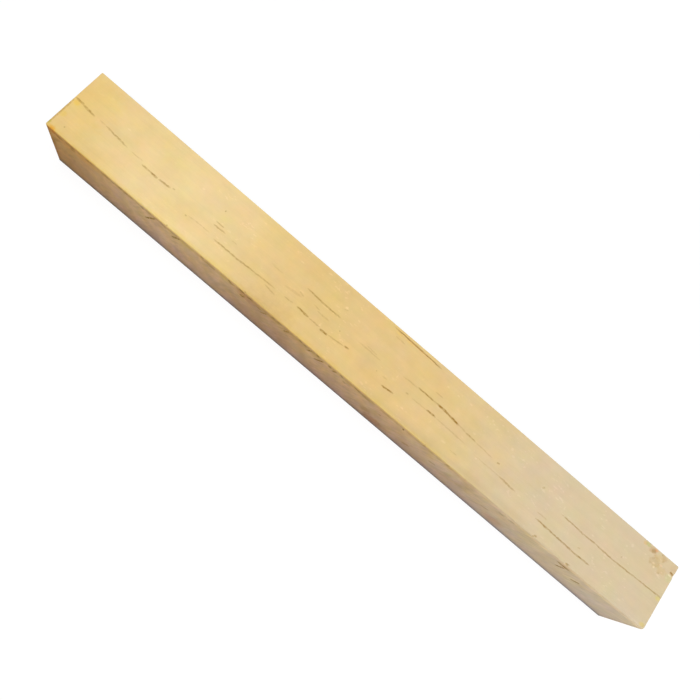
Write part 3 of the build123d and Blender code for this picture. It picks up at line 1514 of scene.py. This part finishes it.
class Ticks(Effect):
    """Small pale nicks in patches, where the plane lifted the grain."""

    title = "ticks"
    inputs = {"Place": "Vector"}
    outputs = {"Mask": "Float"}
    waves = (0.30, 0.65, 0.65)
    nick_rise = (0.63, 0.72)
    patch_scale = 0.05
    patch_rise = (0.46, 0.60)
    length_rise = (60.0, 160.0, 0.3, 1.0)

    def wire(self, n: Nodes, given: dict[str, Socket]) -> dict[str, Socket]:
        """Scatters the nicks.

        Args:
            n: The group's tree.
            given: The group's inputs by name.

        Returns:
            Their mask.
        """
        fine = n.cloud(n.vector("MULTIPLY", given["Place"], self.waves), 1.0)
        patches = n.cloud(given["Place"], self.patch_scale)
        picked = n.math("MULTIPLY", n.rise(fine, *self.nick_rise), n.rise(patches, *self.patch_rise))
        x = n.add("SeparateXYZ", {0: given["Place"]}).outputs["X"]
        return {"Mask": n.math("MULTIPLY", picked, n.rise(x, *self.length_rise))}


class Scuffs(Effect):
    """Short slanting scuffs up the near side, along the way the tears run."""

    title = "scuffs"
    inputs = {"Place": "Vector", "Amount": "Float"}
    outputs = {"Tone": "Float"}
    way = (0.57, 0.0, 0.82)
    across = (0.82, 0.0, -0.57)
    way_scale = 0.10
    across_scale = 0.32
    patch_scale = 0.045
    patch_rise = (0.35, 0.60, 0.25, 1.0)

    def wire(self, n: Nodes, given: dict[str, Socket]) -> dict[str, Socket]:
        """Draws the scuffs in patches.

        Args:
            n: The group's tree.
            given: The group's inputs by name.

        Returns:
            A factor around 1 for the wood's colour.
        """
        along = n.math("MULTIPLY", n.vector("DOT_PRODUCT", given["Place"], self.way), self.way_scale)
        aside = n.vector("DOT_PRODUCT", given["Place"], self.across)
        aside = n.math("MULTIPLY", aside, self.across_scale)
        strokes = n.cloud(n.add("CombineXYZ", {0: along, 1: aside}).outputs[0], 1.0, roughness=0.6)
        patches = n.rise(n.cloud(given["Place"], self.patch_scale), *self.patch_rise)
        return {"Tone": n.swing(strokes, n.math("MULTIPLY", patches, given["Amount"]))}


class Mottle(Effect):
    """Slow clouds on the wood: of light and shade, of red and green, and of gold and grey."""

    title = "mottle"
    inputs = {"Place": "Vector", "Waves": "Vector"}
    outputs = {"Light": "Float", "Redness": "Float", "Gold": "Float"}

    def wire(self, n: Nodes, given: dict[str, Socket]) -> dict[str, Socket]:
        """Reads the three clouds of one noise.

        Args:
            n: The group's tree.
            given: The group's inputs by name.

        Returns:
            Each cloud as a value around one half.
        """
        place = n.vector("MULTIPLY", given["Place"], given["Waves"])
        clouds = n.cloud(place, 1.0, *FINE, out="Color")
        parts = n.add("SeparateXYZ", {0: clouds}).outputs
        return {"Light": parts["X"], "Redness": parts["Y"], "Gold": parts["Z"]}


# Finishes


@dataclass(frozen=True)
class WoodTones:
    """One face's tones, from honey at the left end to greyish beige at the right end: partly the wood's
    own change along the grain and partly painted light, a warmer cast towards the left end.
    """

    left: Colour
    pale: Colour
    middle: Colour
    right: Colour

    def feeds(self, place: Socket) -> dict[str, Feed]:
        """Gives the inputs of the tone along the grain, read at a place."""
        named = {"Left": self.left, "Pale": self.pale, "Middle": self.middle, "Right": self.right}
        return {"Place": place, **named}


# The tones of the top face, which also serve every face but the near side, and those of that side. Along
# the blank both shift partly with the wood and partly as painted light, warmer towards the left end; the
# near side's are also darker and more orange than the top's, most at the left end, as painted shade.
TOP_TONES = WoodTones(
    tone(234, 204, 140), tone(240, 212, 153), tone(228, 196, 133), tone(219, 199, 162)
)
NEAR_SIDE_SHADED_TONES = WoodTones(
    tone(207, 158, 88), tone(234, 195, 142), tone(222, 182, 132), tone(227, 203, 164)
)


@dataclass(frozen=True)
class Wood:
    """What the three finishes of the blank share.

    Roughness is its least and what the finish's own pattern adds. Relief is in millimetres.
    """

    size: Size
    tones: WoodTones = TOP_TONES
    pith: Triple = (0.0, 88.0, -61.0)
    ring_spacing: float = 3.6
    ior: float = 1.45
    specular: float = 0.12
    roughness: Pair = (0.58, 0.12)
    relief: float = 0.06

    def start(self, name: str) -> tuple[bpy.types.Material, Nodes, Socket, Socket]:
        """Starts a material.

        Args:
            name: The material's name.

        Returns:
            The material, its nodes, and its place and unrolled place.
        """
        material = bpy.data.materials.new(name)
        n = Nodes.of(material)
        own = n.add("TexCoord", {}).outputs["Object"]
        feeds = {"Object": own, "Length": self.size.length, "Width": self.size.width}
        places = BlankPlaces().place(n, {**feeds, "Height": self.size.height})
        return material, n, places["Place"], places["Unrolled"]

    def finish(self, n: Nodes, colour: Socket, pattern: Socket, height: Socket) -> None:
        """Ends a material in its shader.

        Args:
            n: The material's nodes.
            colour: The wood's colour.
            pattern: What its roughness rises with, from 0 to 1.
            height: Its fine relief, from 0 to 1.
        """
        least, added = self.roughness
        rough = n.math("MULTIPLY_ADD", pattern, added, least)
        relief = {"Height": height, "Strength": 1.0, "Distance": self.relief * MM}
        bump = n.add("Bump", relief).outputs[0]
        feeds = {"Base Color": colour, "Roughness": rough, "Normal": bump, "IOR": self.ior}
        shader = n.add("BsdfPrincipled", {**feeds, "Specular IOR Level": self.specular})
        n.add("OutputMaterial", {"Surface": shader.outputs[0]})


@dataclass(frozen=True)
class Clouding:
    """How far one of the mottle's clouds tints the wood, in red, green and blue.

    The top face and the near side each have their own amounts, and others towards the right end.
    """

    top: Triple
    top_right: Triple
    near: Triple
    near_right: Triple


@dataclass(frozen=True)
class Band:
    """A tinted band along an arris: its middle and reach across the strip, and where it runs."""

    middle: float
    reach: float
    start: float
    end: float
    breakup: float
    tint: Colour


@dataclass(frozen=True)
class PlanedWood(Wood):
    """The four long faces: planed, bare, with flecks, stained patches and a handled near arris, and with
    painted shade and painted light in places.

    The low tint and the foot tints are painted shade: they darken the near side towards its lower arris,
    by rises up it, the foot tints as a painted contact shadow along that arris.
    The low tint fades along the blank, and "right_rise" is where the right end's mottling starts.
    """

    # Painted shade: the near side's tones, darker and more orange than the top's, most at the left end
    near_side_shaded_tones: WoodTones = NEAR_SIDE_SHADED_TONES
    near_edge: float = 1.5
    # Painted shade on the near side: darker towards its lower arris, less so towards the right end, with
    # the foot tints as a painted contact shadow along that arris
    low_rise: Pair = (44.0, 3.0)
    low_fade: Range = (300.0, 460.0, 1.0, 0.5)
    low_painted_shade: Colour = (0.73, 0.70, 0.86)
    foot_painted_shadows: tuple[tuple[Pair, Colour], ...] = (
        ((11.0, 2.0), (0.70, 0.72, 0.78)),
        ((5.5, 1.5), (0.56, 0.60, 0.82)),
    )
    right_rise: Pair = (360.0, 420.0)
    top_waves: Triple = (0.06, 0.07, 0.07)
    near_waves: Triple = (0.09, 0.09, 0.06)
    light: Clouding = Clouding((0.21,) * 3, (0.15,) * 3, (0.62,) * 3, (0.40,) * 3)
    redness: Clouding = Clouding(
        (0.10, -0.10, 0.04), (0.10, -0.10, 0.04), (0.12, -0.11, 0.05), (0.09, -0.08, 0.04)
    )
    gold: Clouding = Clouding(
        (0.04, 0.02, -0.42), (0.03, 0.01, -0.26), (0.06, 0.03, -0.84), (0.04, 0.02, -0.54)
    )
    fibre_shade: float = 0.07
    ring_shade: float = -0.015
    scuffing: float = 0.40
    tick_tint: Colour = (1.08, 1.08, 1.16)
    ragged_waves: float = 0.28
    arris_bands_and_highlights: tuple[Band, ...] = (
        Band(51.0, 2.2, -40.0, 330.0, 0.7, (1.0, 0.98, 0.80)),
        # Painted highlight on the rounded near top arris, which also yellows it
        Band(49.2, 1.6, -40.0, 345.0, 0.2, (1.17, 1.15, 0.76)),
        Band(46.1, 2.2, -40.0, 100.0, 0.8, (0.78, 0.70, 0.34)),
        Band(45.9, 2.1, 100.0, 345.0, 0.7, (0.92, 0.86, 0.46)),
        Band(44.0, 3.4, 100.0, 260.0, 0.3, (0.98, 0.98, 0.78)),
        Band(52.5, 4.0, 250.0, 400.0, 0.0, (0.92, 0.92, 0.94)),
        Band(54.5, 9.0, -40.0, 45.0, 0.0, (0.97, 0.95, 0.87)),
        # Painted light on the upper near side below the worn arris, towards the right end
        Band(46.4, 3.6, 345.0, 540.0, 0.3, (1.18, 1.16, 1.10)),
    )
    band_waves: Triple = (1.0, 0.4, 0.0)
    band_scale: float = 0.18
    fleck_tone: Colour = tone(150, 106, 0)
    fleck_wander: float = 1.5
    wander_waves: float = 0.22
    bead_waves: Triple = (0.42, 1.2, 0.0)
    bead_rise: Range = (0.30, 0.60, 0.50, 1.16)

    def flecks(self, n: Nodes, unrolled: Socket) -> Socket:
        """Lays every fleck and tear on the unrolled faces.

        Args:
            n: The material's nodes.
            unrolled: The unrolled place.

        Returns:
            The flecks' mask.
        """
        drift = n.math("SUBTRACT", n.cloud(unrolled, self.wander_waves, detail=3.0, roughness=0.7), 0.5)
        aside = n.add("CombineXYZ", {1: n.math("MULTIPLY", drift, self.fleck_wander)}).outputs[0]
        marks = n.vector("ADD", unrolled, aside)
        for dab in (dab for fleck in all_flecks() for dab in fleck.dabs(self.size)):
            feeds = {
                "Centre": dab.centre.to_3d(),
                "Along": dab.along.to_3d(),
                "Aside": dab.aside.to_3d(),
                "Strength": dab.strength,
            }
            marks = Streak().place(n, {"Marks": marks, **feeds})["Marks"]
        mask = n.add("SeparateXYZ", {0: marks}).outputs["Z"]
        beads = n.cloud(n.vector("MULTIPLY", unrolled, self.bead_waves), 1.0, detail=2.0)
        return n.math("MULTIPLY", mask, n.rise(beads, *self.bead_rise))

    def stains_and_painted_light(self, n: Nodes, unrolled: Socket, colour: Socket) -> Socket:
        """Lays every tinted patch on the wood, with painted shade and painted highlights among them.

        Args:
            n: The material's nodes.
            unrolled: The unrolled place.
            colour: The wood's colour.

        Returns:
            The stained colour.
        """
        rough = n.math("SUBTRACT", n.cloud(unrolled, self.ragged_waves, *RAGGED), 0.5)
        for blot in all_blots():
            centre = (blot.place[0], self.size.across(blot.face, blot.place[1]), 0.0)
            feeds = {"Centre": centre, "Reach": (*blot.reach, 1.0), "Raggedness": blot.raggedness}
            mask = TintedPatch().place(n, {"Unrolled": unrolled, "Rough": rough, **feeds})["Mask"]
            colour = n.tint(mask, colour, blot.tint)
        return colour

    def bare(self, n: Nodes, place: Socket, unrolled: Socket, near: Socket) -> Socket:
        """Gives the tones of the faces, with painted shade that darkens the near side towards its foot.

        Args:
            n: The material's nodes.
            place: The place on the blank.
            unrolled: The unrolled place.
            near: The near side's mask.

        Returns:
            The bare wood's colour.
        """
        parts = n.add("SeparateXYZ", {0: unrolled}).outputs
        top = LengthTone().place(n, self.tones.feeds(place))["Tone"]
        side = LengthTone().place(n, self.near_side_shaded_tones.feeds(place))["Tone"]
        colour = n.mix(near, top, side)
        low = n.math("MULTIPLY", n.rise(parts["Y"], *self.low_rise), n.rise(parts["X"], *self.low_fade))
        # Painted shade down the near side, and painted contact shadow along its lower arris
        colour = n.tint(n.math("MULTIPLY", near, low), colour, self.low_painted_shade)
        for rise, tint in self.foot_painted_shadows:
            colour = n.tint(n.math("MULTIPLY", near, n.rise(parts["Y"], *rise)), colour, tint)
        return colour

    def mottled(self, n: Nodes, colour: Socket, place: Socket, near: Socket, right: Socket) -> Socket:
        """Lays the mottle's three clouds on the wood.

        Args:
            n: The material's nodes.
            colour: The wood's colour.
            place: The place on the blank.
            near: The near side's mask.
            right: The right end's mask.

        Returns:
            The mottled colour.
        """
        waves = n.mix(near, self.top_waves, self.near_waves, "VECTOR")
        mottle = Mottle().place(n, {"Place": place, "Waves": waves})
        for name, clouding in (("Light", self.light), ("Redness", self.redness), ("Gold", self.gold)):
            top = n.mix(right, clouding.top, clouding.top_right, "VECTOR")
            side = n.mix(right, clouding.near, clouding.near_right, "VECTOR")
            colour = n.tinted(colour, mottle[name], n.mix(near, top, side, "VECTOR"))
        return colour

    def banded(self, n: Nodes, unrolled: Socket, colour: Socket) -> Socket:
        """Lays the bands along the near top arris: handling's trace, and two of painted light.

        Args:
            n: The material's nodes.
            unrolled: The unrolled place.
            colour: The wood's colour.

        Returns:
            The tinted colour.
        """
        waved = n.vector("MULTIPLY", unrolled, self.band_waves)
        patches = n.cloud(waved, self.band_scale, *RAGGED)
        for band in self.arris_bands_and_highlights:
            feeds = {"Middle": band.middle, "Reach": band.reach, "From": band.start, "To": band.end}
            feeds |= {"Breakup": band.breakup, "Unrolled": unrolled, "Patches": patches}
            colour = n.tint(ArrisBand().place(n, feeds)["Mask"], colour, band.tint)
        return colour

    def material(self) -> bpy.types.Material:
        """Builds the material.

        Returns:
            The material.
        """
        material, n, place, unrolled = self.start("planed_wood")
        parts = n.add("SeparateXYZ", {0: unrolled}).outputs
        near = n.rise(parts["Y"], self.size.height, self.size.height - self.near_edge)
        right = n.rise(parts["X"], *self.right_rise)
        colour = self.mottled(n, self.bare(n, place, unrolled, near), place, near, right)
        fibres = Fibres().place(n, {"Place": place, "Fineness": 1.0})
        rings = GrowthRings().place(n, {"Place": place, "Pith": self.pith, "Spacing": self.ring_spacing})
        fibre_shade = n.swing(fibres["Tone"], self.fibre_shade)
        shade = n.math("MULTIPLY_ADD", rings["Ring"], self.ring_shade, fibre_shade)
        scuffs = Scuffs().place(n, {"Place": place, "Amount": n.math("MULTIPLY", near, self.scuffing)})
        colour = n.scaled(colour, n.math("MULTIPLY", shade, scuffs["Tone"]))
        colour = n.tint(Ticks().place(n, {"Place": place})["Mask"], colour, self.tick_tint)
        colour = self.stains_and_painted_light(n, unrolled, colour)
        colour = self.banded(n, unrolled, colour)
        colour = n.mix(self.flecks(n, unrolled), colour, self.fleck_tone)
        self.finish(n, colour, fibres["Tone"], fibres["Height"])
        return material


@dataclass(frozen=True)
class SawnEnd(Wood):
    """The two ends: sawn across the grain, with faint rings, open pores and saw marks."""

    darkening: Colour = (0.86, 0.82, 0.76)
    waves: Triple = (0.01, 0.07, 0.07)
    light: float = 0.25
    pore_waves: Triple = (0.0, 1.0, 1.0)
    pore_scale: float = 2.4
    pore_rise: Pair = (0.52, 0.70)
    pore_shade: float = -0.10
    pore_depth: float = 0.5
    scratch_waves: Triple = (0.0, 1.0, 0.05)
    scratch_scale: float = 0.9
    scratch_shade: float = 0.22
    ring_shade: float = -0.13
    roughness: Pair = (0.72, 0.1)
    relief: float = 0.18

    def material(self) -> bpy.types.Material:
        """Builds the material.

        Returns:
            The material.
        """
        material, n, place, _ = self.start("sawn_end")
        colour = LengthTone().place(n, self.tones.feeds(place))["Tone"]
        colour = n.vector("MULTIPLY", colour, self.darkening)
        mottle = Mottle().place(n, {"Place": place, "Waves": self.waves})
        rings = GrowthRings().place(n, {"Place": place, "Pith": self.pith, "Spacing": self.ring_spacing})
        pores = n.cloud(n.vector("MULTIPLY", place, self.pore_waves), self.pore_scale, *FINE)
        specks = n.rise(pores, *self.pore_rise)
        lengthwise = n.vector("MULTIPLY", place, self.scratch_waves)
        scratches = n.cloud(lengthwise, self.scratch_scale, *FINE)
        shades = [n.swing(mottle["Light"], self.light), n.swing(scratches, self.scratch_shade)]
        shades.append(n.math("MULTIPLY_ADD", rings["Ring"], self.ring_shade, 1.0))
        shades.append(n.math("MULTIPLY_ADD", specks, self.pore_shade, 1.0))
        for shade in shades:
            colour = n.scaled(colour, shade)
        height = n.math("SUBTRACT", scratches, n.math("MULTIPLY", specks, self.pore_depth))
        self.finish(n, colour, specks, height)
        return material


@dataclass(frozen=True)
class TornWood(Wood):
    """The walls of the chips, the tears and the shake: rough broken fibres."""

    darkening: Colour = (0.86, 0.78, 0.64)
    fineness: float = 2.2
    fibre_shade: float = 0.5
    roughness: Pair = (0.75, 0.1)
    relief: float = 0.3

    def material(self) -> bpy.types.Material:
        """Builds the material.

        Returns:
            The material.
        """
        material, n, place, _ = self.start("torn_wood")
        colour = LengthTone().place(n, self.tones.feeds(place))["Tone"]
        fibres = Fibres().place(n, {"Place": place, "Fineness": self.fineness})
        colour = n.vector("MULTIPLY", colour, self.darkening)
        colour = n.scaled(colour, n.swing(fibres["Tone"], self.fibre_shade))
        self.finish(n, colour, fibres["Tone"], fibres["Height"])
        return material


# The studio


@dataclass(frozen=True)
class Softbox:
    """A square lamp with an even face."""

    name: str
    place: Triple
    aim: Triple
    side: float
    watts: float

    def light(self) -> None:
        """Adds the lamp."""
        data = bpy.data.lights.new(self.name, "AREA")
        data.shape = "SQUARE"
        data.size = self.side
        data.energy = self.watts
        lamp = placed(self.name, data)
        lamp.location = self.place
        way = Vector(self.aim) - Vector(self.place)
        lamp.rotation_euler = way.to_track_quat("-Z", "Y").to_euler()


@dataclass(frozen=True)
class Studio:
    """A plain white floor, soft lamps and the camera above the blank.

    Round the blank the floor shows "floor_glow" and the light that falls on it, and it turns white
    between the two distances of "floor_clears".
    """

    floor_side: float = 12.0
    floor_drop: float = 0.00005
    floor_bounce: Colour = (0.50, 0.50, 0.49)
    floor_glow: Colour = (0.86,) * 3
    floor_shade: Colour = (0.17,) * 3
    floor_clears: Pair = (0.35, 1.3)
    sky: float = 0.25
    softboxes: tuple[Softbox, ...] = (
        Softbox("key", (0.0, -0.25, 1.50), (0.0, 0.0, 0.02), 1.4, 20.4),
        Softbox("right_fill", (0.62, -0.30, 0.08), (0.22, -0.025, 0.03), 0.15, 0.7),
        Softbox("back_fill", (0.0, 1.00, 0.16), (0.0, 0.025, 0.02), 0.5, 3.0),
    )
    eye: Triple = (-0.0441, -0.1369, 0.4609)
    ahead: Triple = (0.0536, 0.2728, -0.9606)
    up: Triple = (-0.6464, 0.7427, 0.1749)
    lens: float = 34.58
    sensor_width: float = 36.0
    shift: Pair = (0.0244, 0.0107)
    clip_start: float = 0.01

    def camera(self) -> None:
        """Adds the camera at the photograph's viewing angle."""
        data = bpy.data.cameras.new("camera")
        data.lens = self.lens
        data.sensor_width = self.sensor_width
        data.shift_x, data.shift_y = self.shift
        data.clip_start = self.clip_start
        camera = placed("camera", data)
        back = -Vector(self.ahead).normalized()
        right = Vector(self.up).cross(back).normalized()
        above = back.cross(right)
        for row, values in enumerate(zip(right, above, back, self.eye)):
            camera.matrix_world[row] = values
        bpy.context.scene.camera = camera

    def seen(self, n: Nodes) -> Socket:
        """Tells rays that show the background from those that only carry light.

        Args:
            n: The material's or the world's nodes.

        Returns:
            1 for a ray that shows the background and 0 for the others.
        """
        path = n.add("LightPath", {}).outputs
        shown = n.math("MAXIMUM", path["Is Camera Ray"], path["Is Glossy Ray"])
        return n.math("MAXIMUM", shown, path["Is Transmission Ray"])

    def world(self) -> None:
        """Makes the world white to the eye and a plain grey light to the blank."""
        world = bpy.data.worlds.new("studio")
        n = Nodes.of(world)
        grey = n.add("Background", {"Color": WHITE, "Strength": self.sky}).outputs[0]
        white = n.add("Background", {"Color": WHITE, "Strength": 1.0}).outputs[0]
        both = n.add("MixShader", {0: self.seen(n), 1: grey, 2: white}).outputs[0]
        n.add("OutputWorld", {"Surface": both})
        bpy.context.scene.world = world

    def floor(self) -> None:
        """Adds the floor, which shows white with the blank's soft shadow on it."""
        half = self.floor_side / 2
        mesh = bpy.data.meshes.new("floor")
        corners = [(-half, -half), (half, -half), (half, half), (-half, half)]
        mesh.from_pydata([(x, y, -self.floor_drop) for x, y in corners], [], [(0, 1, 2, 3)])
        floor = placed("floor", mesh)
        material = bpy.data.materials.new("studio_floor")
        n = Nodes.of(material)
        bounce = n.add("BsdfDiffuse", {"Color": self.floor_bounce}).outputs[0]
        own = n.add("TexCoord", {}).outputs["Object"]
        away = n.rise(n.vector("LENGTH", own), *self.floor_clears)
        glow = n.add("Emission", {"Color": n.mix(away, self.floor_glow, WHITE)}).outputs[0]
        shade = n.add("BsdfDiffuse", {"Color": self.floor_shade}).outputs[0]
        shown = n.add("AddShader", {0: glow, 1: shade}).outputs[0]
        both = n.add("MixShader", {0: self.seen(n), 1: bounce, 2: shown}).outputs[0]
        n.add("OutputMaterial", {"Surface": both})
        mesh.materials.append(material)

    def build(self) -> None:
        """Sets up the camera, the world, the floor and the lamps."""
        self.camera()
        self.world()
        self.floor()
        for softbox in self.softboxes:
            softbox.light()
        bpy.context.scene.view_settings.view_transform = "Standard"


def main() -> None:
    """Builds the studio, the blank and its finishes."""
    logging.basicConfig(level=logging.INFO, format="%(name)s: %(message)s")
    Studio().build()
    size = Size.of_node(NODE)
    blank = TurningBlank(size).build()
    finishes = {Slot.PLANED: PlanedWood(size), Slot.SAWN: SawnEnd(size), Slot.TORN: TornWood(size)}
    for slot in Slot:
        blank.data.materials.append(finishes[slot].material())
    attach(blank, "root")
    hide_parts(NODE)
    triangles = sum(len(p.vertices) - 2 for p in blank.data.polygons)
    LOG.info("%s: %d vertices, %d triangles", blank.name, len(blank.data.vertices), triangles)


if __name__ == "__main__":
    main()
